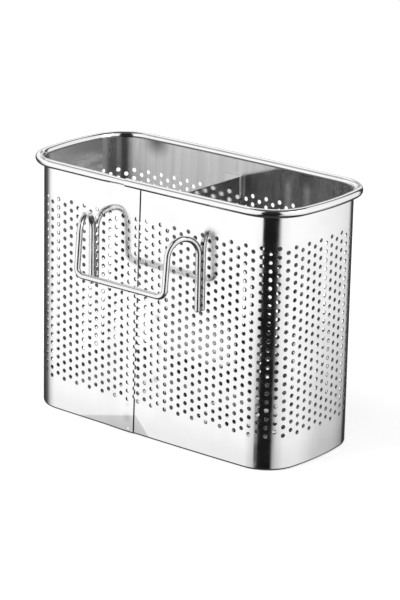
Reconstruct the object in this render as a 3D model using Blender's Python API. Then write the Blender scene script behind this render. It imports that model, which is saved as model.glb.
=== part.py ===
"""Chopstick holder: a perforated steel basket with two compartments and a wire hanger.

The basket is one steel sheet. Its blank is punched flat, its top edge is rolled outwards
into a rim, and it is wrapped round an oval until its ends overlap in a lap seam at the
front. A pressed pan closes the bottom, a folded panel divides the inside, and a bent wire
with two hooks is welded to the front.

Metres, +Z up, -Y is the front. The origin is on the underside of the pan, at the middle
of the oval.
"""

import math

import bmesh
import bpy
from mathutils import Vector

# Oval of the basket seen from above, measured on the outside of the wall
OUTLINE_LENGTH = 0.1660
OUTLINE_WIDTH = 0.0742
CORNER_RADIUS = 0.0187
END_RADIUS = 0.142
LONG_SIDE_RADIUS = 2.5

# Sheet and fits
SHEET = 0.0005
SEAT_GAP = 0.0003

# Rolled rim
RIM_TOP = 0.1354
RIM_ROLL_RADIUS = 0.00223
RIM_STANDOFF = 0.00015
RIM_FLARE_HEIGHT = 0.0008
RIM_FLARE_STEPS = 1
RIM_ROLL_END = math.radians(-125)
RIM_ROLL_STEPS = 8

# Perforation of the wall: columns of holes, every second one raised by half a pitch
HOLE_DIAMETER = 0.0058
HOLE_SIDES = 6
HOLE_COLUMN_PITCH = 0.0100
HOLE_ROW_PITCH = 0.0149
HOLE_ROWS = 7
LOWEST_HOLE = 0.0180

# Lap seam at the front, where one end of the sheet climbs over the other
SEAM_PLACE = -0.0068
LAP_RISE = SHEET

# Pressed pan in the bottom
PAN_HEIGHT = 0.0060
PAN_BEND_RADIUS = 0.0020
PAN_BEND_STEPS = 2
PAN_HOLE_DIAMETER = 0.0050
PAN_HOLE_SIDES = 6
PAN_HOLE_PITCH = 0.0150
PAN_HOLE_EDGE = 0.0070

# Divider panel, its top a drop below the rim
DIVIDER_PLACE = 0.0010
DIVIDER_DROP = 0.0111
DIVIDER_FLANGE = 0.0110
DIVIDER_BEND_RADIUS = 0.0010
DIVIDER_BEND_STEPS = 3
DIVIDER_NOTCH_WIDTH = 0.0040
DIVIDER_NOTCH_RISE = 0.0020

# Wire hanger: two legs on the wall, two hooks and the front bar that joins them. Drops are below the rim
WIRE_RADIUS = 0.0016
WIRE_SIDES_SETTING = 3
HANGER_PLACE = -0.0012
HANGER_LEG_SPACING = 0.0699
HANGER_LEG_DROP = 0.0601
HANGER_ARCH_DROP = 0.0302
HANGER_REACH = 0.0181
HANGER_LEAN = 0.0019
HANGER_SPLAY = 0.0063
HANGER_BAR_DROP = 0.0500
HANGER_BAR_BEND = 0.0042
HANGER_ARCH_STEPS = 10
HANGER_BEND_STEPS = 5


def clear_scene():
    for thing in list(bpy.data.objects):
        bpy.data.objects.remove(thing, do_unlink=True)


def steel(name, colour, roughness):
    material = bpy.data.materials.new(name)
    material.use_nodes = True
    shader = material.node_tree.nodes["Principled BSDF"]
    shader.inputs["Base Color"].default_value = (*colour, 1.0)
    shader.inputs["Metallic"].default_value = 1.0
    shader.inputs["Roughness"].default_value = roughness
    material.diffuse_color = (*colour, 1.0)
    return material


def add_mesh(name, shape, material, smooth_below=math.radians(40)):
    """Turn a bmesh into an object whose faces are smooth where they meet at a small angle."""
    mesh = bpy.data.meshes.new(name)
    shape.to_mesh(mesh)
    shape.free()
    mesh.shade_smooth()
    mesh.set_sharp_from_angle(angle=smooth_below)
    thing = bpy.data.objects.new(name, mesh)
    thing.data.materials.append(material)
    bpy.context.scene.collection.objects.link(thing)
    return thing


def cut(thing, cutter):
    """Subtract a cutter, which is kept in the scene as a hidden wire shape."""
    cutter.hide_render = True
    cutter.display_type = "WIRE"
    step = thing.modifiers.new("cut " + cutter.name, "BOOLEAN")
    step.operation = "DIFFERENCE"
    step.solver = "EXACT"
    step.object = cutter


class Oval:
    """A closed outline of four tangent arcs, symmetrical about X and Y.

    Arc length starts at the middle of the front and runs to the right.
    """

    def __init__(self, length, width, corner, end, side):
        self.length = length
        self.width = width
        self.corner = corner
        self.end = end
        self.side = side
        end_centre = Vector((length / 2 - end, 0.0))
        side_centre = Vector((0.0, side - width / 2))
        self.corner_centre = self.meeting(side_centre, side - corner, end_centre, end - corner)
        towards_side = self.corner_centre - side_centre
        self.side_turn = math.atan2(towards_side.x, -towards_side.y)
        towards_end = self.corner_centre - end_centre
        self.end_turn = math.atan2(-towards_end.y, towards_end.x)
        self.corner_turn = math.pi / 2 - self.side_turn - self.end_turn
        self.runs = (
            (side_centre, side, 0.0, self.side_turn),
            (self.corner_centre, corner, self.side_turn, self.corner_turn),
            (end_centre, end, self.side_turn + self.corner_turn, self.end_turn),
        )
        self.quarter = sum(radius * turn for _, radius, _, turn in self.runs)

    @staticmethod
    def meeting(first, first_radius, second, second_radius):
        """The point at two given distances from two centres, on the front right side."""
        apart = second - first
        gap = apart.length
        along = (first_radius**2 - second_radius**2 + gap**2) / (2 * gap)
        across = math.sqrt(first_radius**2 - along**2)
        unit = apart / gap
        return first + unit * along + Vector((-unit.y, unit.x)) * across

    @property
    def perimeter(self):
        return 4 * self.quarter

    def folded(self, distance):
        """A distance along the outline brought to the front right quarter, with its mirrors."""
        whole = self.perimeter
        place = (distance + whole / 2) % whole - whole / 2
        mirror_x = -1.0 if place < 0 else 1.0
        place = abs(place)
        if place > self.quarter:
            return 2 * self.quarter - place, mirror_x, -1.0
        return place, mirror_x, 1.0

    def near_corner(self, distance, margin):
        """Whether a place lies in a corner arc, or within a margin of one."""
        place, _, _ = self.folded(distance)
        start = self.side * self.side_turn
        return start - margin < place < start + self.corner * self.corner_turn + margin

    def at(self, distance, offset=0.0):
        """The point at a distance along the outline, moved outwards by an offset."""
        place, mirror_x, mirror_y = self.folded(distance)
        for centre, radius, start, turn in self.runs[:-1]:
            if place <= radius * turn:
                break
            place -= radius * turn
        else:
            centre, radius, start, turn = self.runs[-1]
        angle = start + place / radius
        x = centre.x + (radius + offset) * math.sin(angle)
        y = centre.y - (radius + offset) * math.cos(angle)
        return Vector((x * mirror_x, y * mirror_y))


OVAL = Oval(OUTLINE_LENGTH, OUTLINE_WIDTH, CORNER_RADIUS, END_RADIUS, LONG_SIDE_RADIUS)
COLUMNS = 2 * round(OVAL.perimeter / HOLE_COLUMN_PITCH / 2)

# Stations lie half a column apart. Odd ones are the columns of holes, and even ones lie between.
STATIONS = 2 * COLUMNS
STATION_STEP = OVAL.perimeter / STATIONS


def fold_lines():
    """The stations where the wrapped sheet is folded: all in the corners, else the columns only."""
    lines = [0]
    for station in range(1, STATIONS):
        if station % 2 == 1 or OVAL.near_corner(SEAM_PLACE + station * STATION_STEP, STATION_STEP):
            lines.append(station)
    lines.append(STATIONS)
    return lines


LINES = fold_lines()


def arc_points(centre, radius, start, end, steps):
    """Points on an arc in a plane, both ends included."""
    points = []
    for step in range(steps + 1):
        angle = start + (end - start) * step / steps
        points.append(Vector((centre.x + radius * math.cos(angle), centre.y + radius * math.sin(angle))))
    return points


def both_faces(path, thickness):
    """Offset a line of points to the left and to the right by half of a thickness."""
    left = []
    right = []
    for place, point in enumerate(path):
        before = path[max(place - 1, 0)]
        after = path[min(place + 1, len(path) - 1)]
        first = (point - before).normalized() if place > 0 else (after - point).normalized()
        second = (after - point).normalized() if place < len(path) - 1 else first
        along = (first + second).normalized()
        normal = Vector((-along.y, along.x))
        reach = thickness / 2 / max(normal.dot(Vector((-first.y, first.x))), 0.5)
        left.append(point + normal * reach)
        right.append(point - normal * reach)
    return left, right


def wall_section():
    """Section of the wall as points (outward offset, height), from the bottom to the roll's end.

    Returns the face outside the basket, the face inside it, and the rows between which
    the sheet is perforated.
    """
    middle_radius = RIM_ROLL_RADIUS - SHEET / 2
    centre = Vector((RIM_STANDOFF + RIM_ROLL_RADIUS, RIM_TOP - RIM_ROLL_RADIUS))
    shift = centre.x - middle_radius + SHEET / 2
    flare_start = centre.y - RIM_FLARE_HEIGHT
    band_low = LOWEST_HOLE - HOLE_ROW_PITCH / 2
    band_high = LOWEST_HOLE + HOLE_ROW_PITCH * HOLE_ROWS
    path = [Vector((-SHEET / 2, height)) for height in (0.0, band_low, band_high, flare_start)]
    for step in range(1, RIM_FLARE_STEPS + 1):
        share = step / (RIM_FLARE_STEPS + 1)
        ease = (1 - math.cos(math.pi * share)) / 2
        path.append(Vector((-SHEET / 2 + shift * ease, flare_start + RIM_FLARE_HEIGHT * share)))
    path += arc_points(centre, middle_radius, math.pi, RIM_ROLL_END, RIM_ROLL_STEPS)
    inside, outside = both_faces(path, SHEET)
    return outside, inside, (1, 2), 3


def half_hole():
    """Corners of the right half of a hole round its centre, from the bottom to the top."""
    radius = HOLE_DIAMETER / 2
    half = HOLE_SIDES // 2
    turns = [math.pi * step / half for step in range(half + 1)]
    return [(radius * math.sin(turn), -radius * math.cos(turn)) for turn in turns]


class WrappedSheet:
    """The punched sheet, wrapped round the oval.

    A place on the sheet is a station, which may be a fraction, and a row of the section
    or, in the perforated band, a height. Station 0 and the last station are the two ends
    of the sheet, and the last one lies on top of the first.
    """

    def __init__(self):
        self.outside, self.inside, self.band, self.last_lapped_row = wall_section()
        self.shape = bmesh.new()
        self.corners = {}

    def corner(self, station, row, height, outer):
        """The vertex at a place on the sheet, made when it is first asked for."""
        if height is None:
            section = (self.outside if outer else self.inside)[row]
            offset = section.x
            height = section.y
        else:
            offset = 0.0 if outer else -SHEET
        lapped = outer and row <= self.last_lapped_row
        if lapped:
            offset += LAP_RISE * max(0.0, station - STATIONS + 1)
        elif station == STATIONS:
            station = 0
        key = (round(station, 6), row, round(height, 7), outer)
        if key not in self.corners:
            place = OVAL.at(SEAM_PLACE + station * STATION_STEP, offset)
            self.corners[key] = self.shape.verts.new((place.x, place.y, height))
        return self.corners[key]

    def face(self, places):
        """Make a face on both sides of the sheet, its places anticlockwise seen from outside."""
        for outer in (True, False):
            ring = [self.corner(*place, outer) for place in places]
            if not outer:
                ring.reverse()
            self.shape.faces.new(ring)

    def edge_strip(self, first, second):
        """Close the sheet's thickness along an edge whose material lies to its left."""
        self.shape.faces.new(
            (
                self.corner(*first, True),
                self.corner(*first, False),
                self.corner(*second, False),
                self.corner(*second, True),
            )
        )

    def hole_heights(self, column):
        lift = HOLE_ROW_PITCH / 2 if column % 2 else 0.0
        return [LOWEST_HOLE + lift + HOLE_ROW_PITCH * row for row in range(HOLE_ROWS)]

    def plain_chain(self, station):
        """A fold between two columns, with a point at the height of each hole beside it."""
        low, high = self.band
        foot = self.outside[low].y
        chain = [((station, low, None), foot)]
        for step in range(1, 2 * HOLE_ROWS + 1):
            height = foot + HOLE_ROW_PITCH / 2 * step
            chain.append(((station, low, height), height))
        chain.append(((station, high, None), self.outside[high].y))
        return chain

    def holed_chain(self, station, side):
        """The middle line of a column, which goes round one side of each of its holes.

        Each place comes with the height up to which it is joined to the chain opposite.
        """
        low, high = self.band
        stretch = HOLE_ROW_PITCH / HOLE_DIAMETER
        chain = [((station, low, None), self.outside[low].y)]
        for height in self.hole_heights(station // 2):
            for across, up in half_hole():
                place = (station + side * across / STATION_STEP, low, height + up)
                chain.append((place, height + up * stretch))
        chain.append(((station, high, None), self.outside[high].y))
        return chain

    def chain(self, station, side):
        if station % 2 == 0:
            return self.plain_chain(station)
        return self.holed_chain(station, side)

    def zip_chains(self, left, right):
        """Fill the space between two climbing chains with triangles, level by level."""
        i = 0
        j = 0
        while i < len(left) - 1 or j < len(right) - 1:
            right_done = j == len(right) - 1
            if right_done or (i < len(left) - 1 and left[i + 1][1] <= right[j + 1][1]):
                self.face([left[i][0], right[j][0], left[i + 1][0]])
                i += 1
            else:
                self.face([left[i][0], right[j][0], right[j + 1][0]])
                j += 1

    def hole_edges(self, station, side):
        """The cut edges of one side of the holes in a column."""
        places = [place for place, _ in self.holed_chain(station, side)][1:-1]
        corners = len(half_hole())
        for first in range(0, len(places), corners):
            notch = places[first : first + corners]
            if side > 0:
                notch.reverse()
            for before, after in zip(notch, notch[1:]):
                self.edge_strip(before, after)

    def band_strip(self, left, right):
        """The perforated band of the sheet between two neighbouring folds."""
        self.zip_chains(self.chain(left, 1), self.chain(right, -1))
        for station, side in ((left, 1), (right, -1)):
            if station % 2 == 1:
                self.hole_edges(station, side)

    def build(self):
        last_row = len(self.outside) - 1
        for left, right in zip(LINES, LINES[1:]):
            for row in range(last_row):
                if row == self.band[0]:
                    self.band_strip(left, right)
                    continue
                self.face(
                    [
                        (left, row, None),
                        (right, row, None),
                        (right, row + 1, None),
                        (left, row + 1, None),
                    ]
                )
            self.edge_strip((left, 0, None), (right, 0, None))
            self.edge_strip((right, last_row, None), (left, last_row, None))
        self.close_lap()
        return self.shape

    def seam_levels(self):
        """Places along an end of the sheet as (row, height), up to where the lap closes."""
        low, high = self.band
        levels = [(row, None) for row in range(low)]
        levels += [(row, height) for (_, row, height), _ in self.plain_chain(0)]
        levels[-1] = (high, None)
        levels += [(row, None) for row in range(high + 1, self.last_lapped_row + 2)]
        return levels

    def close_lap(self):
        """The cut edge of the sheet's upper end, which steps down to the lower end."""
        levels = self.seam_levels()
        for below, above in zip(levels, levels[1:]):
            ring = [
                self.corner(STATIONS, *below, True),
                self.corner(0, *below, True),
                self.corner(0, *above, True),
                self.corner(STATIONS, *above, True),
            ]
            ring = [vertex for n, vertex in enumerate(ring) if vertex is not ring[n - 1]]
            self.shape.faces.new(ring)
        self.shape.faces.new(
            (
                self.corner(STATIONS, 0, None, True),
                self.corner(0, 0, None, False),
                self.corner(0, 0, None, True),
            )
        )


def make_basket_wall():
    return add_mesh("basket_wall", WrappedSheet().build(), steel("wall_steel", (0.80, 0.80, 0.81), 0.12))


def pan_section():
    """Section of the pan as points (outward offset, height), from the top of its edge inwards."""
    outer = -SHEET - SEAT_GAP - SHEET / 2
    centre = Vector((outer - PAN_BEND_RADIUS, SHEET / 2 + PAN_BEND_RADIUS))
    path = [Vector((outer, PAN_HEIGHT))]
    path += arc_points(centre, PAN_BEND_RADIUS, 0.0, -math.pi / 2, PAN_BEND_STEPS)
    path.append(Vector((centre.x - PAN_BEND_RADIUS, SHEET / 2)))
    return both_faces(path, SHEET)


def pan_hole_places():
    """Staggered rows of drain holes that keep clear of the edge and leave the middle whole."""
    across = PAN_HOLE_PITCH * math.sqrt(3) / 2
    reach = OUTLINE_LENGTH / 2
    rows = int(OUTLINE_WIDTH / 2 / across) + 1
    places = []
    for row in range(-rows, rows + 1):
        shift = 0.5 if row % 2 == 0 else 0.0
        count = int(reach / PAN_HOLE_PITCH) + 1
        for column in range(-count, count + 1):
            place = Vector(((column + shift) * PAN_HOLE_PITCH, row * across))
            if inside_oval(place, -PAN_HOLE_EDGE - PAN_HOLE_DIAMETER / 2):
                places.append(place)
    return places


def inside_oval(place, offset):
    """Whether a point lies inside the oval moved by an offset."""
    x = abs(place.x)
    y = -abs(place.y)
    for centre, radius, start, turn in OVAL.runs:
        angle = math.atan2(x - centre.x, centre.y - y)
        if start <= angle <= start + turn:
            return (Vector((x, y)) - centre).length < radius + offset
    return True


def make_base_pan():
    shape = bmesh.new()
    outer, inner = pan_section()
    rings = []
    for face in (list(reversed(inner)), outer):
        for point in face:
            ring = []
            for station in LINES[:-1]:
                place = OVAL.at(SEAM_PLACE + station * STATION_STEP, point.x)
                ring.append(shape.verts.new((place.x, place.y, point.y)))
            rings.append(ring)
    for lower, upper in zip(rings, rings[1:]):
        for here in range(len(lower)):
            after = (here + 1) % len(lower)
            shape.faces.new((lower[here], upper[here], upper[after], lower[after]))
    shape.faces.new(rings[0])
    shape.faces.new(reversed(rings[-1]))
    pan = add_mesh("base_pan", shape, steel("pan_steel", (0.74, 0.74, 0.75), 0.22))
    holes = bmesh.new()
    for place in pan_hole_places():
        made = bmesh.ops.create_cone(
            holes,
            cap_ends=True,
            segments=PAN_HOLE_SIDES,
            radius1=PAN_HOLE_DIAMETER / 2,
            radius2=PAN_HOLE_DIAMETER / 2,
            depth=SHEET * 6,
        )
        bmesh.ops.translate(holes, verts=made["verts"], vec=(place.x, place.y, SHEET / 2))
    cutter = add_mesh("pan_drain_holes", holes, pan.data.materials[0])
    cut(pan, cutter)
    return pan


def box_shape(low, high):
    shape = bmesh.new()
    bmesh.ops.create_cube(shape, size=1.0)
    size = high - low
    bmesh.ops.scale(shape, verts=shape.verts, vec=size)
    bmesh.ops.translate(shape, verts=shape.verts, vec=(low + high) / 2)
    return shape


def make_divider():
    """A panel folded into a Z in plan: its front flange turns right and its back one left."""
    reach = OUTLINE_WIDTH / 2 - SHEET - SEAT_GAP - SHEET / 2
    sag = LONG_SIDE_RADIUS - math.sqrt(LONG_SIDE_RADIUS**2 - (abs(DIVIDER_PLACE) + DIVIDER_FLANGE) ** 2)
    reach -= sag
    bend = DIVIDER_BEND_RADIUS
    front_bend = Vector((DIVIDER_PLACE + bend, bend - reach))
    back_bend = Vector((DIVIDER_PLACE - bend, reach - bend))
    path = [Vector((DIVIDER_PLACE + DIVIDER_FLANGE, -reach))]
    path += arc_points(front_bend, bend, -math.pi / 2, -math.pi, DIVIDER_BEND_STEPS)
    path += arc_points(back_bend, bend, 0.0, math.pi / 2, DIVIDER_BEND_STEPS)
    path.append(Vector((DIVIDER_PLACE - DIVIDER_FLANGE, reach)))
    left, right = both_faces(path, SHEET)
    foot = SHEET + SEAT_GAP
    shape = bmesh.new()
    ring = [shape.verts.new((point.x, point.y, foot)) for point in left + list(reversed(right))]
    base = shape.faces.new(ring)
    made = bmesh.ops.extrude_face_region(shape, geom=[base])
    tops = [item for item in made["geom"] if isinstance(item, bmesh.types.BMVert)]
    bmesh.ops.translate(shape, verts=tops, vec=(0.0, 0.0, RIM_TOP - DIVIDER_DROP - foot))
    bmesh.ops.recalc_face_normals(shape, faces=shape.faces)
    divider = add_mesh("divider_panel", shape, steel("divider_steel", (0.78, 0.78, 0.79), 0.10))
    notch_top = PAN_HEIGHT + DIVIDER_NOTCH_RISE
    side_reach = DIVIDER_FLANGE * 2
    for name, side in (("front", -1), ("back", 1)):
        near = side * (OUTLINE_WIDTH / 2 - DIVIDER_NOTCH_WIDTH)
        far = side * OUTLINE_WIDTH / 2
        low = Vector((DIVIDER_PLACE - side_reach, min(near, far), -foot))
        high = Vector((DIVIDER_PLACE + side_reach, max(near, far), notch_top))
        cutter = add_mesh("divider_" + name + "_notch", box_shape(low, high), divider.data.materials[0])
        cut(divider, cutter)
    return divider


def turn_corner(before, corner, after, radius, steps):
    """Points of a round bend that is tangent to both legs of a corner in space."""
    first = (before - corner).normalized()
    second = (after - corner).normalized()
    half = first.angle(second) / 2
    setback = radius / math.tan(half)
    start = corner + first * setback
    centre = corner + (first + second).normalized() * (radius / math.sin(half))
    arm = start - centre
    axis = arm.cross(corner + second * setback - centre).normalized()
    sweep = math.pi - 2 * half
    points = []
    for step in range(steps + 1):
        angle = sweep * step / steps
        turned = arm * math.cos(angle) + axis.cross(arm) * math.sin(angle)
        points.append(centre + turned)
    return points


def hook_path(side):
    """One hook from the bottom of its leg, over the arch, down to its end of the front bar."""
    wall_front = -OUTLINE_WIDTH / 2
    leg_x = HANGER_PLACE + side * HANGER_LEG_SPACING / 2
    bow = LONG_SIDE_RADIUS - math.sqrt(LONG_SIDE_RADIUS**2 - leg_x**2)
    leg_y = wall_front + bow - SEAT_GAP - WIRE_RADIUS
    leg_bottom = Vector((leg_x, leg_y, RIM_TOP - HANGER_LEG_DROP))
    spring = Vector((leg_x, leg_y, RIM_TOP - HANGER_ARCH_DROP))
    arm_x = leg_x - side * HANGER_SPLAY
    arm_top = Vector((arm_x, wall_front - HANGER_REACH, spring.z))
    arm_foot = Vector((arm_x, wall_front - HANGER_REACH - HANGER_LEAN, RIM_TOP - HANGER_BAR_DROP))
    centre = (spring + arm_top) / 2
    half = (spring - arm_top) / 2
    rise = Vector((0.0, 0.0, half.length))
    path = [leg_bottom]
    for step in range(HANGER_ARCH_STEPS + 1):
        angle = math.pi * step / HANGER_ARCH_STEPS
        path.append(centre + half * math.cos(angle) + rise * math.sin(angle))
    middle = Vector((HANGER_PLACE, arm_foot.y, arm_foot.z))
    path += turn_corner(arm_top, arm_foot, middle, HANGER_BAR_BEND, HANGER_BEND_STEPS)
    return path


def make_hanger():
    path = hook_path(-1) + list(reversed(hook_path(1)))
    curve = bpy.data.curves.new("hanger_wire", "CURVE")
    curve.dimensions = "3D"
    curve.bevel_depth = WIRE_RADIUS
    curve.bevel_resolution = WIRE_SIDES_SETTING
    curve.use_fill_caps = True
    spline = curve.splines.new("POLY")
    spline.points.add(len(path) - 1)
    for point, place in zip(spline.points, path):
        point.co = (*place, 1.0)
    spline.use_smooth = True
    wire = bpy.data.objects.new("hanger_wire", curve)
    curve.materials.append(steel("wire_steel", (0.80, 0.80, 0.81), 0.10))
    bpy.context.scene.collection.objects.link(wire)
    return wire


def main():
    clear_scene()
    make_basket_wall()
    make_base_pan()
    make_divider()
    make_hanger()


main()
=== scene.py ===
"""Dressed scene of the chopstick holder, a polished perforated steel basket.

Each piece is remade at the detail of the photograph: the wall with its full punched
pattern, the leaning lap seam and the rolled rim, the pressed pan, the folded divider
and the bent wire. Metres, +Z up, -Y is the front, as in the CAD.
"""

import math

import bmesh
import bpy
import numpy as np
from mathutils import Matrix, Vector


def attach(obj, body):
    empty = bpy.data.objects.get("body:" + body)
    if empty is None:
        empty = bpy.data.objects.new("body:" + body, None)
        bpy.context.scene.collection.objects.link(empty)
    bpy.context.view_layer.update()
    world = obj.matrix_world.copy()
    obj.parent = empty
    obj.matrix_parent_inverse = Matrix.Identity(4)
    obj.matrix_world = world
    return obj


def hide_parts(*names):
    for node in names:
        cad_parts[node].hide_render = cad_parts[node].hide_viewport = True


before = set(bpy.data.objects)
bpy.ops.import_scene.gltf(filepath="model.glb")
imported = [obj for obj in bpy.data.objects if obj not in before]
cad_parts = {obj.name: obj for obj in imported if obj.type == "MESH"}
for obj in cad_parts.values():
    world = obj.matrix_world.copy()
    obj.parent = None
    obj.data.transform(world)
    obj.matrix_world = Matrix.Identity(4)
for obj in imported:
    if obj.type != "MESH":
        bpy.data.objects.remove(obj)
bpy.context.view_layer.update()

# Oval of the wall's outside, seen from above
OUTLINE_LENGTH = 0.1660
OUTLINE_WIDTH = 0.0742
CORNER_RADIUS = 0.0187
END_RADIUS = 0.142
LONG_SIDE_RADIUS = 2.5
WALL_FRONT = -OUTLINE_WIDTH / 2
SHEET = 0.0005

# Bottom edge, turned in a little by the shears
FOOT_TURN = 0.00036
FOOT_TURN_HEIGHT = 0.0010
FOOT_TURN_STEPS = 4

# Rolled rim
RIM_TOP = 0.13535
RIM_ROLL_RADIUS = 0.00222
RIM_STANDOFF = 0.00014
RIM_FLARE_HEIGHT = 0.0004
RIM_FLARE_STEPS = 4
RIM_ROLL_END = math.radians(-125)
RIM_ROLL_STEPS = 18

# Crease where the sheet turns out into the rim, and the height over which painted shade darkens it
CREASE_HEIGHT = RIM_TOP - RIM_ROLL_RADIUS - RIM_FLARE_HEIGHT
CREASE_SHADE = 0.0003

# Punched pattern: the columns of holes from the sheet's lower end to its upper end
HOLE_RADIUS = 0.0012
HALF_HOLE_STEPS = 6
HOLE_ROW_PITCH = 0.0045
HOLE_ROWS = 22
LOWEST_HOLE = 0.0180
COLUMN_PITCH = 0.004461
COLUMNS = 101
FIRST_COLUMN = -0.01007
LAST_COLUMN = -0.00751
RIGHT_COLUMNS = 34
LEFT_COLUMNS = 16

# Lap seam: both ends of the sheet lean, and the upper end is joggled over the lower one
SEAM_FOOT = -0.0082
SEAM_LEAN = 0.0028 / 0.130
LAP_WIDTH = 0.0076
LAP_LIFT = SHEET + 0.00008
JOGGLE_START = 0.0300
JOGGLE_END = 0.0140

# Material slots of the sheet
OUTSIDE, CUT_EDGE, INSIDE = range(3)

# Pressed pan
PAN_GAP = 0.0001
PAN_HEIGHT = 0.0060
PAN_BEND_RADIUS = 0.0020
PAN_BEND_STEPS = 8
PAN_STATIONS = 240
PAN_HOLE_DIAMETER = 0.0050
PAN_HOLE_SIDES = 24
PAN_HOLE_PITCH = 0.0150
PAN_HOLE_EDGE = 0.0070

# Divider panel
DIVIDER_PLACE = 0.0010
DIVIDER_TOP = 0.1243
DIVIDER_FLANGE = 0.0110
DIVIDER_GAP = 0.0001
DIVIDER_FOOT = 0.0008
DIVIDER_BEND_RADIUS = 0.0010
DIVIDER_BEND_STEPS = 8
DIVIDER_NOTCH_WIDTH = 0.0040
DIVIDER_NOTCH_TOP = 0.0080

# Wire hanger. Its cut ends are rounded over a share of the radius, and a second ring of points
# stands this many times as far from the end
WIRE_RADIUS = 0.0016
WIRE_SIDES = 24
WIRE_GAP = 0.00005
WIRE_END_ROUND = 0.35
WIRE_END_RING = 1.3
HANGER_PLACE = -0.0012
HANGER_LEG_SPACING = 0.0699
HANGER_LEG_END = 0.0753
HANGER_ARCH_SPRING = 0.1052
HANGER_REACH = 0.0181
HANGER_LEAN = 0.00185
HANGER_SPLAY = 0.0063
HANGER_BAR_HEIGHT = 0.0854
HANGER_BAR_BEND = 0.0042
HANGER_ARCH_STEPS = 28
HANGER_BEND_STEPS = 12

# Weld beads of the hanger, each as far behind the wire's axis as this share of its radius
WELD_HEIGHTS = (0.0800, 0.0990)
WELD_BEAD = (0.0013, 0.0007, 0.0024)
WELD_SET_BACK = 0.75

# Marks on the outside, as X and height: over the welds of the divider, and the pan's spot weld
WELD_MARKS = ((0.0071, 0.0658), (0.0087, 0.0508), (0.0061, 0.0328))
WELD_MARK_RADIUS = 0.0026
PAN_WELD_MARK = (-0.0113, 0.0022)
PAN_WELD_RADIUS = 0.0018

# Painted grey reflection at the foot of the seam: the two slanting upper edges of the patch, as
# slope and height at X zero, how softly they end, and the depth under them at which it is darkest
FOOT_EDGES = ((0.251, 0.0124), (-1.06, 0.0033))
FOOT_EDGE_BLUR = (-0.0004, 0.0010)
FOOT_DEPTH = (0.0, 0.008)

# Darker painted spots in that painted reflection: X, height and radius
SEAM_PAINTED_SPOTS = ((-0.0118, 0.0150, 0.0018), (-0.0122, 0.0080, 0.0040))

# Stretches over which a look of the wall begins or ends: on the outside, with the painted shade
# along its bottom, then at the left end of the inside, at the patch of painted light in its back
# corner, and at the strip of painted shade beside that
FRONT_SIDE_Y = (-0.03, -0.02)
FOOT_PAINTED_SHADE_Z = (0.003, 0.017)
LEFT_END_X = (-0.0782, -0.0774)
END_SHADE_Y = (-0.02, 0.02)
END_REFLECTIONS_FRONT_Y = (-0.014, 0.0)
END_REFLECTIONS_BACK_Y = (0.0204, 0.0212)
END_REFLECTIONS_TOP_Z = (0.1215, 0.1295)
PATCH_RIGHT_X = (-0.0765, -0.0755)
PATCH_FRONT_Y = (0.0200, 0.0206)
PATCH_BACK_Y = (0.0302, 0.0312)
STRIP_LEFT_X = (-0.0768, -0.0755)
STRIP_RIGHT_X = (-0.0738, -0.0725)
STRIP_FRONT_Y = (0.0295, 0.0310)

# The same on the back wall: where it begins, right of the divider, and its haze with painted light
BACK_SIDE_Y = (0.030, 0.033)
PAST_DIVIDER_X = (0.0, 0.001)
RIGHT_SHADE_X = (0.012, 0.052)
PAINTED_LIGHT_LEFT_X = (-0.0750, -0.0690)
PAINTED_LIGHT_LOW_Z = (0.088, 0.100)

# The divider's top edge mirrored by the back wall, where the painted light meets the painted dark
# reflection, as slope and height at X zero, and its blur
MIRRORED_EDGE = (0.34, 0.1244)
MIRRORED_EDGE_BLUR = (-0.0014, 0.0014)

# Pale patches of painted light at the back of the right compartment, along X, and a painted shadow
# at the back left
BACK_PALE_PATCHES = (0.0312, 0.0435)
BACK_PALE_PATCH_REACH = (0.0, 0.0042)
BACK_PALE_PATCHES_TOP_Z = (0.124, 0.131)
BACK_PAINTED_SHADOW = (-0.0565, 0.0366, 0.1335)
BACK_PAINTED_SHADOW_RADIUS = 0.012

# The divider's back flange with painted light, the painted highlight as a bright strip at its fold,
# and the top edge, which stays clear
FLANGE_X = (0.0, 0.0005)
FLANGE_Y = (0.0345, 0.0350)
FOLD_STRIP_Y = (0.0341, 0.0343)
FOLD_STRIP_Z = (0.112, 0.114)
FLANGE_TOP_Z = (DIVIDER_TOP - 0.00008, DIVIDER_TOP - 0.00003)

# Levels of a look that comes, and of one that goes
COMES = (0.0, 1.0)
GOES = (1.0, 0.0)

# The light tent: its size, and its brightness by direction, in degrees from the front towards
# the right, from just under its ceiling down to the height that the wall's bottom reflects
TENT_RADIUS = 1.8
TENT_STATIONS = 120
TENT_TOP_LEVELS = (
    (-180, 0.05), (-171, 0.05), (-165, 0.88), (-150, 1.0), (-90, 1.0), (-84, 0.35), (-50, 0.35),
    (-44, 1.0), (9, 1.0), (12, 0.02), (56, 0.02), (62, 0.96), (96, 0.94), (103, 0.06),
    (176, 0.05),
)
TENT_UPPER_LEVELS = (
    (-180, 0.05), (-172, 0.05), (-166, 0.90), (-150, 1.0), (-60, 1.0), (9, 1.0), (12, 0.02),
    (56, 0.02), (62, 0.96), (166, 0.90), (173, 0.05),
)
TENT_HIGH_LEVELS = (
    (-180, 0.05), (-102, 0.05), (-84, 0.12), (-65, 0.94), (-48, 1.08), (-20, 1.08), (9, 1.0),
    (12, 0.01), (56, 0.01), (67, 0.92), (100, 1.03), (128, 1.02), (138, 0.96), (156, 0.84),
    (167, 0.45), (175, 0.015),
)
TENT_LOW_LEVELS = (
    (-180, 0.05), (-102, 0.05), (-80, 0.12), (-60, 0.76), (-45, 1.0), (-33, 0.97), (-2, 0.60),
    (2, 0.01), (51, 0.01), (58, 0.50), (90, 0.86), (128, 0.90), (139, 0.58), (152, 0.50),
    (163, 0.12), (174, 0.015),
)

# Heights of the tent's dark floor, of the fades between the lower lists, and of its dark ceiling
TENT_FLOOR = -1.35
TENT_LOW_FADE = (-0.68, -0.46)
TENT_HIGH_FADE = (0.05, 0.40)
TENT_TOP = 3.25
TENT_FLOOR_LEVEL = 0.04
TENT_CEILING_LEVEL = 0.08

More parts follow.
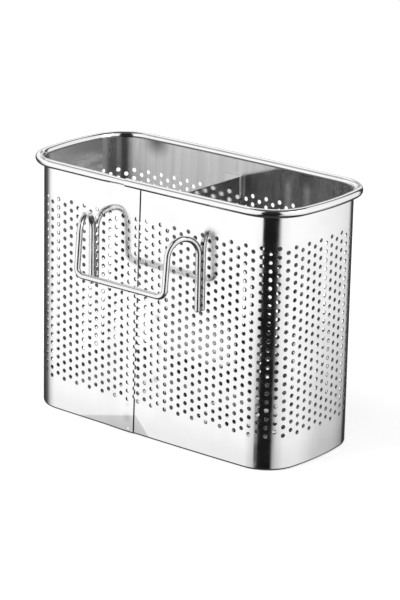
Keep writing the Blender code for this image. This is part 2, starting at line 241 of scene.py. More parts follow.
# Grey flags in front of the upper cloth that draw the thin line along the rim: each one's
# lowest and highest height, and its first and last angle
TENT_FLAGS = (
    (0.42, 0.72, -157, -140),
    (0.72, 0.97, -142, -126),
    (0.97, 1.17, -128, -108),
    (1.17, 1.46, -114, -88),
    (1.46, 2.00, -99, -50),
)
TENT_FLAG_LEVEL = 0.35
TENT_FLAG_SOFT = 3

# Lamps: place, size, power and whether the steel mirrors them, all aimed at the holder's middle
LAMPS = {
    "key_softbox": ((-0.7, -0.9, 1.5), 1.2, 16.0, False),
    "fill_softbox": ((1.3, 0.4, 1.1), 0.9, 5.0, True),
}
LAMP_AIM = (0.0, 0.0, 0.07)

# White surroundings: the floor under the bottom edge, and how bright it and the world look to
# the rays that see the background, and the world to the rest
FLOOR_HALF = 5.0
FLOOR_LEVEL = -0.0003
FLOOR_GREY = 0.8
FLOOR_GLOW = 0.42
WORLD_SEEN = 1.0
WORLD_LIGHT = 0.6

# Camera, at the photograph's viewing angle
CAMERA_PLACE = (0.80559, -0.99569, 0.47513)
CAMERA_TURN = (72.2457, -1.1618, 39.2027)
CAMERA_LENS = 156.53
CAMERA_SENSOR = 36.0


class Oval:
    """A closed outline of four tangent arcs, symmetrical about X and Y.

    Arc length starts at the middle of the front and runs to the right.
    """

    def __init__(self, length, width, corner, end, side):
        end_centre = Vector((length / 2 - end, 0.0))
        side_centre = Vector((0.0, side - width / 2))
        corner_centre = self.meeting(side_centre, side - corner, end_centre, end - corner)
        towards_side = corner_centre - side_centre
        side_turn = math.atan2(towards_side.x, -towards_side.y)
        towards_end = corner_centre - end_centre
        end_turn = math.atan2(-towards_end.y, towards_end.x)
        corner_turn = math.pi / 2 - side_turn - end_turn
        self.runs = (
            (side_centre, side, 0.0, side_turn),
            (corner_centre, corner, side_turn, corner_turn),
            (end_centre, end, side_turn + corner_turn, end_turn),
        )
        self.quarter = sum(radius * turn for _, radius, _, turn in self.runs)
        self.perimeter = 4 * self.quarter

    @staticmethod
    def meeting(first, first_radius, second, second_radius):
        """The point at two given distances from two centres, on the front right side."""
        apart = second - first
        gap = apart.length
        along = (first_radius**2 - second_radius**2 + gap**2) / (2 * gap)
        across = math.sqrt(first_radius**2 - along**2)
        unit = apart / gap
        return first + unit * along + Vector((-unit.y, unit.x)) * across

    def at(self, distance):
        """The point at a distance along the outline, and the outward normal there."""
        whole = self.perimeter
        place = (distance + whole / 2) % whole - whole / 2
        mirror = Vector((-1.0 if place < 0 else 1.0, 1.0))
        place = abs(place)
        if place > self.quarter:
            place = 2 * self.quarter - place
            mirror.y = -1.0
        for centre, radius, start, turn in self.runs:
            angle = start + place / radius
            if place <= radius * turn:
                break
            place -= radius * turn
        normal = Vector((math.sin(angle), -math.cos(angle)))
        return (centre + normal * radius) * mirror, normal * mirror

    def holds(self, place, offset):
        """Whether a point lies inside the outline moved outwards by an offset."""
        x = abs(place.x)
        y = -abs(place.y)
        for centre, radius, start, turn in self.runs:
            angle = math.atan2(x - centre.x, centre.y - y)
            if start <= angle <= start + turn:
                return (Vector((x, y)) - centre).length < radius + offset
        return True


OVAL = Oval(OUTLINE_LENGTH, OUTLINE_WIDTH, CORNER_RADIUS, END_RADIUS, LONG_SIDE_RADIUS)


def bow(x):
    """How far the long side has curved back from its middle."""
    return LONG_SIDE_RADIUS - math.sqrt(LONG_SIDE_RADIUS**2 - x**2)


def arc_points(centre, radius, start, end, steps):
    """Points on an arc in a plane, both ends included."""
    points = []
    for step in range(steps + 1):
        angle = start + (end - start) * step / steps
        points.append(Vector((centre.x + radius * math.cos(angle), centre.y + radius * math.sin(angle))))
    return points


def right_normals(path):
    """Unit normals on the right of a line of points."""
    steps = [(after - before).normalized() for before, after in zip(path, path[1:])]
    normals = []
    for before, after in zip(steps[:1] + steps, steps + steps[-1:]):
        along = (before + after).normalized()
        normals.append(Vector((along.y, -along.x)))
    return normals


def two_faces(path):
    """The left and right faces of a sheet whose middle follows a line."""
    sides = right_normals(path)
    left = [point - side * SHEET / 2 for point, side in zip(path, sides)]
    right = [point + side * SHEET / 2 for point, side in zip(path, sides)]
    return left, right


def join_rings(shape, rings):
    """Close a solid whose skin runs through rings of points and ends flat."""
    for lower, upper in zip(rings, rings[1:]):
        for here in range(len(lower)):
            after = (here + 1) % len(lower)
            shape.faces.new((lower[here], upper[here], upper[after], lower[after]))
    shape.faces.new(rings[0])
    shape.faces.new(reversed(rings[-1]))
    bmesh.ops.recalc_face_normals(shape, faces=shape.faces)


def smooth_step(share):
    """A share between nothing and one, eased at both ends."""
    share = min(max(share, 0.0), 1.0)
    return share * share * (3 - 2 * share)


def add_object(name, shape, *materials):
    """Turn a finished shape into an object."""
    mesh = bpy.data.meshes.new(name)
    shape.to_mesh(mesh)
    shape.free()
    for material in materials:
        mesh.materials.append(material)
    thing = bpy.data.objects.new(name, mesh)
    bpy.context.scene.collection.objects.link(thing)
    return thing


def smooth_shade(mesh, sharp_angle):
    mesh.shade_smooth()
    mesh.set_sharp_from_angle(angle=math.radians(sharp_angle))


class PunchedSheet:
    """The wall as one sheet, from its lower end behind the seam, round to its upper end."""

    BAND_LOW = LOWEST_HOLE - HOLE_ROW_PITCH / 2
    BAND_STEPS = 2 * HOLE_ROWS + 1
    BAND_STEP = HOLE_ROW_PITCH / 2
    BAND_ROW = FOOT_TURN_STEPS + 1
    FLARE_ROW = BAND_ROW + 2
    ROLL_ROW = FLARE_ROW + RIM_FLARE_STEPS + 1
    OUT = Vector((1.0, 0.0))

    def __init__(self):
        self.shape = bmesh.new()
        self.true_normal = self.shape.verts.layers.float_vector.new("true_normal")
        self.made = {}
        self.path = self.section()
        self.sides = right_normals(self.path)
        for row in range(FOOT_TURN_STEPS, self.FLARE_ROW + 1):
            self.sides[row] = self.OUT
        self.columns = self.column_places()
        self.near_upper_end = False
        self.upper_end_faces = set()

    def section(self):
        """The middle of the sheet from its foot to the end of the roll: distance out and height."""
        middle = RIM_ROLL_RADIUS - SHEET / 2
        centre = Vector((RIM_STANDOFF + RIM_ROLL_RADIUS, RIM_TOP - RIM_ROLL_RADIUS))
        shift = centre.x - middle + SHEET / 2
        flare_start = centre.y - RIM_FLARE_HEIGHT
        band_high = self.BAND_LOW + self.BAND_STEP * self.BAND_STEPS
        path = []
        for step in range(FOOT_TURN_STEPS + 1):
            share = step / FOOT_TURN_STEPS
            path.append(Vector((-SHEET / 2 - FOOT_TURN * (1 - share) ** 2, FOOT_TURN_HEIGHT * share)))
        path += [Vector((-SHEET / 2, height)) for height in (self.BAND_LOW, band_high, flare_start)]
        for step in range(1, RIM_FLARE_STEPS + 1):
            share = step / (RIM_FLARE_STEPS + 1)
            ease = (1 - math.cos(math.pi * share)) / 2
            path.append(Vector((-SHEET / 2 + shift * ease, flare_start + RIM_FLARE_HEIGHT * share)))
        return path + arc_points(centre, middle, math.pi, RIM_ROLL_END, RIM_ROLL_STEPS)

    @staticmethod
    def column_places():
        """Arc length of each column: at the pitch seen on both sides of the seam, shared out between."""
        right = [FIRST_COLUMN + COLUMN_PITCH * n for n in range(RIGHT_COLUMNS)]
        last = LAST_COLUMN + OVAL.perimeter
        left = [last - COLUMN_PITCH * n for n in reversed(range(LEFT_COLUMNS))]
        hidden = COLUMNS - RIGHT_COLUMNS - LEFT_COLUMNS
        step = (left[0] - right[-1]) / (hidden + 1)
        return right + [right[-1] + step * (n + 1) for n in range(hidden)] + left

    @staticmethod
    def lift(distance):
        """How far the sheet stands out where its upper end climbs over the lower one."""
        before_seam = OVAL.perimeter - distance
        return LAP_LIFT * smooth_step((JOGGLE_START - before_seam) / (JOGGLE_START - JOGGLE_END))

    def vertex(self, distance, row, height, outer):
        """The vertex at a place on the sheet, made when it is first asked for.

        A place is a distance along the oval and a row of the section, or a height on the band.
        """
        point = self.path[row] if height is None else Vector((-SHEET / 2, height))
        key = (round(distance, 8), row, round(point.y, 8), outer)
        if key in self.made:
            return self.made[key]
        side = self.sides[row] if height is None else self.OUT
        place, normal = OVAL.at(distance)
        out = side if row > self.BAND_ROW else self.OUT
        away = point + out * ((SHEET / 2 if outer else -SHEET / 2) + self.lift(distance))
        place = place + normal * away.x
        vertex = self.shape.verts.new((place.x, place.y, away.y))
        small = 0.0001
        slope = (self.lift(distance + small) - self.lift(distance - small)) / (2 * small)
        true = Vector((normal.x * side.x, normal.y * side.x, side.y))
        true -= Vector((-normal.y, normal.x, 0.0)) * slope
        vertex[self.true_normal] = true.normalized() * (1 if outer else -1)
        self.made[key] = vertex
        return vertex

    def face(self, places):
        """A face on both sides of the sheet, its places anticlockwise seen from outside."""
        for outer in (True, False):
            ring = [self.vertex(*place, outer) for place in places]
            if not outer:
                ring.reverse()
            on_roll = places[0][1] >= self.ROLL_ROW
            self.add_face(ring, OUTSIDE if outer or on_roll else INSIDE)

    def edge_strip(self, first, second):
        """Close the sheet's thickness along an edge whose material lies to its left."""
        corners = ((first, True), (first, False), (second, False), (second, True))
        self.add_face([self.vertex(*place, outer) for place, outer in corners], CUT_EDGE)

    def add_face(self, ring, slot):
        made = self.shape.faces.new(ring)
        made.material_index = slot
        if self.near_upper_end:
            self.upper_end_faces.add(made)

    def half_cell(self, centre, edge, height):
        """The sheet between one half of a hole, the column's line and the line beside it."""
        row = self.BAND_ROW
        low, high = height - self.BAND_STEP, height + self.BAND_STEP
        side = 1 if edge > centre else -1
        arc = []
        for step in range(HALF_HOLE_STEPS + 1):
            turn = math.pi * step / HALF_HOLE_STEPS
            across = side * HOLE_RADIUS * math.sin(turn)
            arc.append((centre + across, row, height - HOLE_RADIUS * math.cos(turn)))
        foot, head = ((centre, row, level) for level in (low, high))
        edge_low, edge_middle, edge_high = ((edge, row, level) for level in (low, height, high))
        rings = (
            (foot, edge_low, arc[1], arc[0]),
            (edge_low, arc[2], arc[1]),
            (edge_low, edge_middle, arc[3], arc[2]),
            (edge_middle, edge_high, arc[4], arc[3]),
            (edge_high, arc[5], arc[4]),
            (edge_high, head, arc[6], arc[5]),
        )
        for ring in rings:
            self.face(ring if side > 0 else ring[::-1])
        if side > 0:
            arc.reverse()
        for first, second in zip(arc, arc[1:]):
            self.edge_strip(first, second)

    def half_column(self, number, edge):
        """The perforated band from a column's line to the line beside it."""
        centre = self.columns[number]
        left, right = min(centre, edge), max(centre, edge)
        raised = number % 2 == 0
        first = LOWEST_HOLE + (self.BAND_STEP if raised else 0.0)
        for row in range(HOLE_ROWS):
            self.half_cell(centre, edge, first + HOLE_ROW_PITCH * row)
        plain = 0 if raised else self.BAND_STEPS - 1
        low = self.BAND_LOW + self.BAND_STEP * plain
        high = low + self.BAND_STEP
        row = self.BAND_ROW
        self.face([(left, row, low), (right, row, low), (right, row, high), (left, row, high)])

    def plain_rows(self, left, right):
        """The rows of the section above and below the perforated band."""
        last = len(self.path) - 1
        for row in list(range(self.BAND_ROW)) + list(range(self.BAND_ROW + 1, last)):
            foot = [(side(row), row, None) for side in (left, right)]
            head = [(side(row + 1), row + 1, None) for side in (right, left)]
            self.face(foot + head)
        self.edge_strip((left(0), 0, None), (right(0), 0, None))
        self.edge_strip((right(last), last, None), (left(last), last, None))

    def lower_end(self, edge):
        """The margin between the sheet's leaning lower end and the first column."""

        def cut(height):
            return SEAM_FOOT + SEAM_LEAN * height - LAP_WIDTH

        self.plain_rows(lambda row: cut(self.path[row].y), lambda row: edge)
        ends = [(cut(self.path[row].y), row, None) for row in range(self.BAND_ROW)]
        band = self.BAND_ROW
        for step in range(self.BAND_STEPS):
            low = self.BAND_LOW + self.BAND_STEP * step
            high = low + self.BAND_STEP
            end_low, end_high = ((cut(level), band, level) for level in (low, high))
            self.face([end_low, (edge, band, low), (edge, band, high), end_high])
            ends.append(end_low)
        ends += [(cut(self.path[row].y), row, None) for row in range(band + 1, len(self.path))]
        for lower, upper in zip(ends, ends[1:]):
            self.edge_strip(upper, lower)

    def cut_upper_end(self):
        """Trim the upper end along the leaning seam, through the holes that it meets."""
        edges = {edge for face in self.upper_end_faces for edge in face.edges}
        corners = {vertex for face in self.upper_end_faces for vertex in face.verts}
        cut = bmesh.ops.bisect_plane(
            self.shape,
            geom=list(self.upper_end_faces) + list(edges) + list(corners),
            dist=1e-7,
            plane_co=(SEAM_FOOT, 0.0, 0.0),
            plane_no=(1.0, 0.0, -SEAM_LEAN),
            clear_outer=True,
        )
        open_edges = [item for item in cut["geom_cut"] if isinstance(item, bmesh.types.BMEdge)]
        filled = bmesh.ops.holes_fill(self.shape, edges=open_edges, sides=0)
        for face in filled["faces"]:
            face.material_index = CUT_EDGE

    def build(self):
        edges = [self.columns[0] - COLUMN_PITCH / 2]
        edges += [(a + b) / 2 for a, b in zip(self.columns, self.columns[1:])]
        edges.append(self.columns[-1] + COLUMN_PITCH / 2)
        self.lower_end(edges[0])
        for number, centre in enumerate(self.columns):
            self.near_upper_end = number == COLUMNS - 1
            for left, right in ((edges[number], centre), (centre, edges[number + 1])):
                self.plain_rows(lambda row, at=left: at, lambda row, at=right: at)
                self.half_column(number, left if right == centre else right)
        self.cut_upper_end()
        return self.shape


def listed(items, name, kind=int):
    """One property of all items as an array."""
    found = np.empty(len(items) * (1 if kind is int else 3), dtype=kind)
    items.foreach_get(name, found)
    return found if kind is int else found.reshape(-1, 3)


def true_shading(mesh):
    """Give the sheet's corners the normals of the true surface, and its cut edges flat ones."""
    mesh.shade_smooth()
    true = listed(mesh.attributes["true_normal"].data, "vector", float)
    sizes = listed(mesh.polygons, "loop_total")
    flat = np.repeat(listed(mesh.polygons, "normal", float), sizes, axis=0)
    normals = true[listed(mesh.loops, "vertex_index")]
    on_edge = np.repeat(listed(mesh.polygons, "material_index") == CUT_EDGE, sizes)
    normals[on_edge] = flat[on_edge]
    mesh.attributes.remove(mesh.attributes["true_normal"])
    mesh.normals_split_custom_set(normals.tolist())


def make_wall():
    materials = (wall_material(), cut_edge_material(), inner_wall_material())
    wall = add_object("wall_sheet", PunchedSheet().build(), *materials)
    true_shading(wall.data)
    return wall


def make_pan():
    """A shallow pan pressed from sheet: a flat floor, a round bend and an upright edge."""
    offset = -SHEET - PAN_GAP - SHEET / 2
    centre = Vector((offset - PAN_BEND_RADIUS, SHEET / 2 + PAN_BEND_RADIUS))
    path = [Vector((offset, PAN_HEIGHT))]
    path += arc_points(centre, PAN_BEND_RADIUS, 0.0, -math.pi / 2, PAN_BEND_STEPS)
    path.append(Vector((centre.x - PAN_BEND_RADIUS, SHEET / 2)))
    under, over = two_faces(path)
    shape = bmesh.new()
    rings = []
    for point in over[::-1] + under:
        ring = []
        for station in range(PAN_STATIONS):
            place, normal = OVAL.at(OVAL.perimeter * station / PAN_STATIONS)
            place = place + normal * point.x
            ring.append(shape.verts.new((place.x, place.y, point.y)))
        rings.append(ring)
    join_rings(shape, rings)
    pan = add_object("pan_pressed", shape, plain_steel("pan_polish", level=0.86, roughness=0.10))
    drill(pan)
    smooth_shade(pan.data, sharp_angle=40)
    return pan


def drill(pan):
    """Cut the drain holes: staggered rows that keep clear of the bend."""
    radius = PAN_HOLE_DIAMETER / 2
    across = PAN_HOLE_PITCH * math.sqrt(3) / 2
    rows = int(OUTLINE_WIDTH / 2 / across) + 1
    count = int(OUTLINE_LENGTH / 2 / PAN_HOLE_PITCH) + 1
    holes = bmesh.new()
    for row in range(-rows, rows + 1):
        shift = 0.5 if row % 2 == 0 else 0.0
        for column in range(-count, count + 1):
            place = Vector(((column + shift) * PAN_HOLE_PITCH, row * across))
            if not OVAL.holds(place, -PAN_HOLE_EDGE - radius):
                continue
            made = bmesh.ops.create_cone(
                holes,
                cap_ends=True,
                segments=PAN_HOLE_SIDES,
                radius1=radius,
                radius2=radius,
                depth=SHEET * 6,
            )
            bmesh.ops.translate(holes, verts=made["verts"], vec=(place.x, place.y, SHEET / 2))
    subtract(pan, holes)


def subtract(thing, shape):
    """Cut a shape out of an object for good."""
    cutter = add_object("cutter", shape)
    step = thing.modifiers.new("cut", "BOOLEAN")
    step.operation = "DIFFERENCE"
    step.solver = "EXACT"
    step.object = cutter
    graph = bpy.context.evaluated_depsgraph_get()
    result = bpy.data.meshes.new_from_object(thing.evaluated_get(graph), depsgraph=graph)
    thing.modifiers.remove(step)
    thing.data = result
    bpy.data.objects.remove(cutter, do_unlink=True)


def make_divider():
    """A panel folded into a Z in plan: its front flange turns right and its back one left."""
    reach = OUTLINE_WIDTH / 2 - SHEET - DIVIDER_GAP - SHEET / 2
    reach -= bow(DIVIDER_PLACE + DIVIDER_FLANGE)
    bend = DIVIDER_BEND_RADIUS
    front_bend = Vector((DIVIDER_PLACE + bend, bend - reach))
    back_bend = Vector((DIVIDER_PLACE - bend, reach - bend))
    path = [Vector((DIVIDER_PLACE + DIVIDER_FLANGE, -reach))]
    path += arc_points(front_bend, bend, -math.pi / 2, -math.pi, DIVIDER_BEND_STEPS)
    path += arc_points(back_bend, bend, 0.0, math.pi / 2, DIVIDER_BEND_STEPS)
    path.append(Vector((DIVIDER_PLACE - DIVIDER_FLANGE, reach)))
    left, right = two_faces(path)
    shape = bmesh.new()
    ring = [shape.verts.new((point.x, point.y, DIVIDER_FOOT)) for point in left + right[::-1]]
    base = shape.faces.new(ring)
    made = bmesh.ops.extrude_face_region(shape, geom=[base])
    tops = [item for item in made["geom"] if isinstance(item, bmesh.types.BMVert)]
    bmesh.ops.translate(shape, verts=tops, vec=(0.0, 0.0, DIVIDER_TOP - DIVIDER_FOOT))
    bmesh.ops.recalc_face_normals(shape, faces=shape.faces)
    divider = add_object("divider_folded", shape, divider_material())
    notches = bmesh.new()
    for side in (-1, 1):
        made = bmesh.ops.create_cube(notches, size=1.0)
        size = (4 * DIVIDER_FLANGE, DIVIDER_NOTCH_WIDTH, 2 * DIVIDER_NOTCH_TOP)
        bmesh.ops.scale(notches, verts=made["verts"], vec=size)
        place = (0.0, side * (OUTLINE_WIDTH - DIVIDER_NOTCH_WIDTH) / 2, 0.0)
        bmesh.ops.translate(notches, verts=made["verts"], vec=place)
    subtract(divider, notches)
    smooth_shade(divider.data, sharp_angle=30)
    return divider


def turn_corner(before, corner, after, radius, steps):
    """Points of a round bend that is tangent to both legs of a corner in space."""
    first = (before - corner).normalized()
    second = (after - corner).normalized()
    half = first.angle(second) / 2
    setback = radius / math.tan(half)
    start = corner + first * setback
    centre = corner + (first + second).normalized() * (radius / math.sin(half))
    arm = start - centre
    axis = arm.cross(corner + second * setback - centre).normalized()
    sweep = math.pi - 2 * half
    points = []
    for step in range(steps + 1):
        angle = sweep * step / steps
        points.append(centre + arm * math.cos(angle) + axis.cross(arm) * math.sin(angle))
    return points


def leg_place(side):
    """Where the axis of a leg stands, against the bowed wall."""
    x = HANGER_PLACE + side * HANGER_LEG_SPACING / 2
    return x, WALL_FRONT + bow(x) - WIRE_RADIUS - WIRE_GAP


def hook_path(side):
    """One hook from the bottom of its leg, over the arch, down to its end of the front bar."""
    leg_x, leg_y = leg_place(side)
    leg_bottom = Vector((leg_x, leg_y, HANGER_LEG_END))
    spring = Vector((leg_x, leg_y, HANGER_ARCH_SPRING))
    arm_x = leg_x - side * HANGER_SPLAY
    arm_top = Vector((arm_x, WALL_FRONT - HANGER_REACH, HANGER_ARCH_SPRING))
    arm_foot = Vector((arm_x, WALL_FRONT - HANGER_REACH - HANGER_LEAN, HANGER_BAR_HEIGHT))
    centre = (spring + arm_top) / 2
    half = (spring - arm_top) / 2
    rise = Vector((0.0, 0.0, half.length))
    path = [leg_bottom]
    for step in range(HANGER_ARCH_STEPS + 1):
        angle = math.pi * step / HANGER_ARCH_STEPS
        path.append(centre + half * math.cos(angle) + rise * math.sin(angle))
    middle = Vector((HANGER_PLACE, arm_foot.y, arm_foot.z))
    path += turn_corner(arm_top, arm_foot, middle, HANGER_BAR_BEND, HANGER_BEND_STEPS)
    return path


def sweep_wire(shape, path):
    """The closed round wire along a path, with slightly rounded cut ends."""
    pairs = zip(path[:1] + path, path[1:] + path[-1:])
    tangents = [(after - before).normalized() for before, after in pairs]
    round_over = WIRE_RADIUS * WIRE_END_ROUND
    first, last = tangents[0], tangents[-1]
    stops = [(path[0], WIRE_RADIUS - round_over, first)]
    stops += [(path[0] + first * round_over * turns, WIRE_RADIUS, first) for turns in (1, WIRE_END_RING)]
    stops += [(point, WIRE_RADIUS, tangent) for point, tangent in zip(path[1:-1], tangents[1:-1])]
    stops += [(path[-1] - last * round_over * turns, WIRE_RADIUS, last) for turns in (WIRE_END_RING, 1)]
    stops.append((path[-1], WIRE_RADIUS - round_over, last))
    across = Vector((1.0, 0.0, 0.0))
    rings = []
    for centre, size, tangent in stops:
        across = (across - tangent * across.dot(tangent)).normalized()
        up = tangent.cross(across)
        ring = []
        for side in range(WIRE_SIDES):
            angle = 2 * math.pi * side / WIRE_SIDES
            ring.append(shape.verts.new(centre + (across * math.cos(angle) + up * math.sin(angle)) * size))
        rings.append(ring)
    join_rings(shape, rings)


def make_hanger():
    shape = bmesh.new()
    sweep_wire(shape, hook_path(-1) + hook_path(1)[::-1])
    hanger = add_object("hanger_bent_wire", shape, plain_steel("wire_polish", level=0.92, roughness=0.16))
    smooth_shade(hanger.data, sharp_angle=50)
    return hanger


def make_welds():
    """Small resistance-weld beads that hold the legs of the wire to the wall."""
    shape = bmesh.new()
    for side in (-1, 1):
        x, y = leg_place(side)
        for height in WELD_HEIGHTS:
            made = bmesh.ops.create_icosphere(shape, subdivisions=3, radius=1.0)
            bmesh.ops.scale(shape, verts=made["verts"], vec=WELD_BEAD)
            place = (x, y + WIRE_RADIUS * WELD_SET_BACK, height)
            bmesh.ops.translate(shape, verts=made["verts"], vec=place)
    welds = add_object("hanger_welds", shape, weld_material())
    welds.data.shade_smooth()
    return welds


class Nodes:
    """A short way to lay out the nodes of a material or a world, round its main node."""

    def __init__(self, owner, main):
        owner.use_nodes = True
        self.owner = owner
        self.tree = owner.node_tree
        self.main = self.tree.nodes[main]

    def add(self, kind, inputs, **settings):
        """A node of a kind, its inputs fed with plain values or with other nodes' outputs."""
        node = self.tree.nodes.new(f"ShaderNode{kind}")
        for key, value in settings.items():
            setattr(node, key, value)
        for key, value in inputs.items():
            self.feed(node, key, value)
        return node

    def feed(self, node, key, value):
        if isinstance(value, bpy.types.NodeSocket):
            self.tree.links.new(value, node.inputs[key])
        else:
            node.inputs[key].default_value = value

    def paint(self, **looks):
        """Feed the main node's inputs, whose names have spaces and capitals."""
        for key, value in looks.items():
            self.feed(self.main, key.replace("_", " "), value)

    def spread(self, source, stretch, levels=COMES):
        """A smooth change from one level to another while the source runs over a stretch."""
        ends = dict(zip(("From Min", "From Max", "To Min", "To Max"), (*stretch, *levels)))
        node = self.add("MapRange", {"Value": source, **ends}, interpolation_type="SMOOTHSTEP")
        return node.outputs["Result"]

    def math(self, operation, first, *others):
        """A value worked out from others, each a number or a node's output, from left to right."""
        for other in others:
            first = self.add("Math", {0: first, 1: other}, operation=operation).outputs["Value"]
        return first

    def total(self, *values):
        return self.math("ADD", *values)

    def multiply(self, *factors):
        return self.math("MULTIPLY", *factors)

    def most(self, *values):
        return self.math("MAXIMUM", *values)

    def less(self, value, taken):
        return self.math("SUBTRACT", value, taken)

    def line(self, x, slope, height):
        """The height of a slanting line at X."""
        return self.total(self.multiply(x, slope), height)

    def blend(self, share, first, second):
        """A mix of two colours."""
        node = self.add("Mix", {}, data_type="RGBA")
        for key, value in (("Factor", share), ("A", first), ("B", second)):
            self.feed(node, key, value)
        return node.outputs["Result"]

    def background_rays(self):
        """One for the rays that see the background: camera, glossy and transmission rays."""
        rays = self.add("LightPath", {}).outputs
        return self.most(rays["Is Camera Ray"], rays["Is Glossy Ray"], rays["Is Transmission Ray"])


class SteelNodes(Nodes):
    """The nodes of a steel, whose marks are placed in the piece's own coordinates."""

    def __init__(self, name):
        super().__init__(bpy.data.materials.new(name), "Principled BSDF")
        self.paint(Metallic=1.0)
        self.place = self.add("TexCoord", {}).outputs["Object"]

    def axes(self):
        """The three coordinates of the shaded place."""
        return list(self.add("SeparateXYZ", {"Vector": self.place}).outputs)

    def noise(self, scale, detail=2.0, stretch=(1.0, 1.0, 1.0)):
        place = self.add("Mapping", {"Vector": self.place, "Scale": stretch}).outputs["Vector"]
        return self.add("TexNoise", {"Vector": place, "Scale": scale, "Detail": detail}).outputs["Fac"]

    def spot(self, place, radius):
        """One at a place on the piece, falling to nothing at a radius."""
        away = self.add("VectorMath", {0: self.place, 1: place}, operation="DISTANCE")
        return self.spread(away.outputs["Value"], (0.0, radius), GOES)

    def bump(self, height, strength, distance, **below):
        inputs = {"Height": height, "Strength": strength, "Distance": distance, **below}
        return self.add("Bump", inputs).outputs["Normal"]


def neutral(level):
    return (level, level, level, 1.0)


def grey(level):
    """A grey with the faint blue of stainless steel."""
    return (level, level, level * 1.008, 1.0)


def polish(name, level, roughness):
    """Polished steel: cloudy in its shine, with fine scratches and a faint waviness."""
    nodes = SteelNodes(name)
    cloud = nodes.spread(nodes.noise(scale=55.0, detail=3.0), (0.35, 0.7))
    colour = nodes.blend(cloud, grey(level), grey(level * 0.95))
    blur = nodes.noise(scale=140.0, detail=4.0)
    rough = nodes.spread(blur, (0.3, 0.75), (roughness * 0.8, roughness * 1.6))
    wave = nodes.bump(nodes.noise(scale=38.0, detail=1.0), strength=0.25, distance=0.0004)
    scratches = nodes.noise(scale=900.0, stretch=(1.0, 1.0, 0.04))
    nodes.paint(Normal=nodes.bump(scratches, strength=0.05, distance=0.00005, Normal=wave))
    return nodes, colour, rough


def plain_steel(name, level, roughness):
    nodes, colour, rough = polish(name, level, roughness)
    nodes.paint(Base_Color=colour, Roughness=rough)
    return nodes.owner


def foot_painted_reflection(nodes):
    """How dark the painted reflection at the foot of the seam is: under two slanting lines, with
    darker painted spots, and marked by a weld.
    """
    x, y, z = nodes.axes()
    lap_front = WALL_FRONT - LAP_LIFT
    patch = nodes.spread(y, FRONT_SIDE_Y, GOES)
    for slope, height in FOOT_EDGES:
        below = nodes.less(nodes.line(x, slope, height), z)
        patch = nodes.multiply(patch, nodes.spread(below, FOOT_EDGE_BLUR))
        patch = nodes.multiply(patch, nodes.spread(below, FOOT_DEPTH, (0.68, 0.84)))
    for mark_x, mark_z, radius in SEAM_PAINTED_SPOTS:
        painted_dark_spot = nodes.spot((mark_x, lap_front, mark_z), radius)
        patch = nodes.total(patch, nodes.multiply(painted_dark_spot, 0.25))
    mark_x, mark_z = PAN_WELD_MARK
    weld = nodes.spot((mark_x, lap_front, mark_z), PAN_WELD_RADIUS)
    nugget = nodes.spread(weld, (0.55, 0.75))
    ring = nodes.less(nodes.spread(weld, (0.15, 0.4)), nugget)
    patch = nodes.multiply(patch, nodes.less(1.0, nugget))
    return nodes.total(patch, nodes.multiply(ring, 0.2))


def wall_material():
    """The wall's polish, dulled where welds have marked it, with painted shade along its bottom edge
    and a painted reflection at the foot of the seam.
    """
    nodes, colour, rough = polish("wall_polish", level=0.97, roughness=0.11)
    _, _, z = nodes.axes()
    places = [(mark_x, WALL_FRONT, mark_z) for mark_x, mark_z in WELD_MARKS]
    marks = nodes.most(*[nodes.spot(place, WELD_MARK_RADIUS) for place in places])
    # Painted shade, darker towards the wall's bottom edge
    toned = nodes.blend(nodes.spread(z, FOOT_PAINTED_SHADE_Z, (0.55, 0.0)), colour, grey(0.80))
    # Painted grey reflection at the foot of the seam
    toned = nodes.blend(foot_painted_reflection(nodes), toned, grey(0.42))
    nodes.paint(Base_Color=nodes.blend(nodes.multiply(marks, 0.6), toned, grey(0.45)))
    nodes.paint(Roughness=nodes.total(rough, nodes.multiply(marks, 0.25)))
    return nodes.owner


def inner_crease(nodes, z):
    """Painted shade in the crease under the rim."""
    return nodes.spread(z, (CREASE_HEIGHT - CREASE_SHADE, CREASE_HEIGHT))


def back_right(nodes, x, y):
    """The back wall on the right of the divider."""
    return nodes.multiply(nodes.spread(x, PAST_DIVIDER_X), nodes.spread(y, BACK_SIDE_Y))


def inner_shade(nodes):
    """Painted shade on the inside: at its left end, the strip behind it, the back right and the crease."""
    x, y, z = nodes.axes()
    end = nodes.multiply(nodes.spread(x, LEFT_END_X, GOES), nodes.spread(y, END_SHADE_Y, (0.45, 0.80)))
    strip = nodes.multiply(
        nodes.spread(x, STRIP_LEFT_X),
        nodes.spread(x, STRIP_RIGHT_X, (0.30, 0.0)),
        nodes.spread(y, STRIP_FRONT_Y),
    )
    clouds = nodes.noise(scale=62.0, detail=1.0, stretch=(1.0, 1.0, 0.35))
    right = nodes.multiply(
        back_right(nodes, x, y),
        nodes.spread(x, RIGHT_SHADE_X, (1.0, 0.55)),
        nodes.spread(clouds, (0.40, 0.62), (0.85, 0.0)),
    )
    return nodes.most(end, strip, right, inner_crease(nodes, z))


def left_end_haze_and_painted_light(nodes):
    """Painted pale reflections at the left end, and a faint patch of painted light in its back corner."""
    x, y, z = nodes.axes()
    clouds = nodes.noise(scale=95.0, detail=3.0, stretch=(1.0, 0.6, 2.4))
    # Painted pale reflections, blotched, at the left end
    painted_reflections = nodes.multiply(
        nodes.spread(x, LEFT_END_X, GOES),
        nodes.spread(clouds, (0.42, 0.62), (0.15, 1.0)),
        nodes.spread(z, END_REFLECTIONS_TOP_Z, GOES),
        nodes.spread(y, END_REFLECTIONS_FRONT_Y),
        nodes.spread(y, END_REFLECTIONS_BACK_Y, GOES),
    )
    # Painted light in the back corner
    patch = nodes.multiply(
        nodes.spread(x, PATCH_RIGHT_X, GOES),
        nodes.spread(y, PATCH_FRONT_Y),
        nodes.spread(y, PATCH_BACK_Y, GOES),
    )
    return nodes.most(nodes.multiply(painted_reflections, 0.50), nodes.multiply(patch, 0.20))


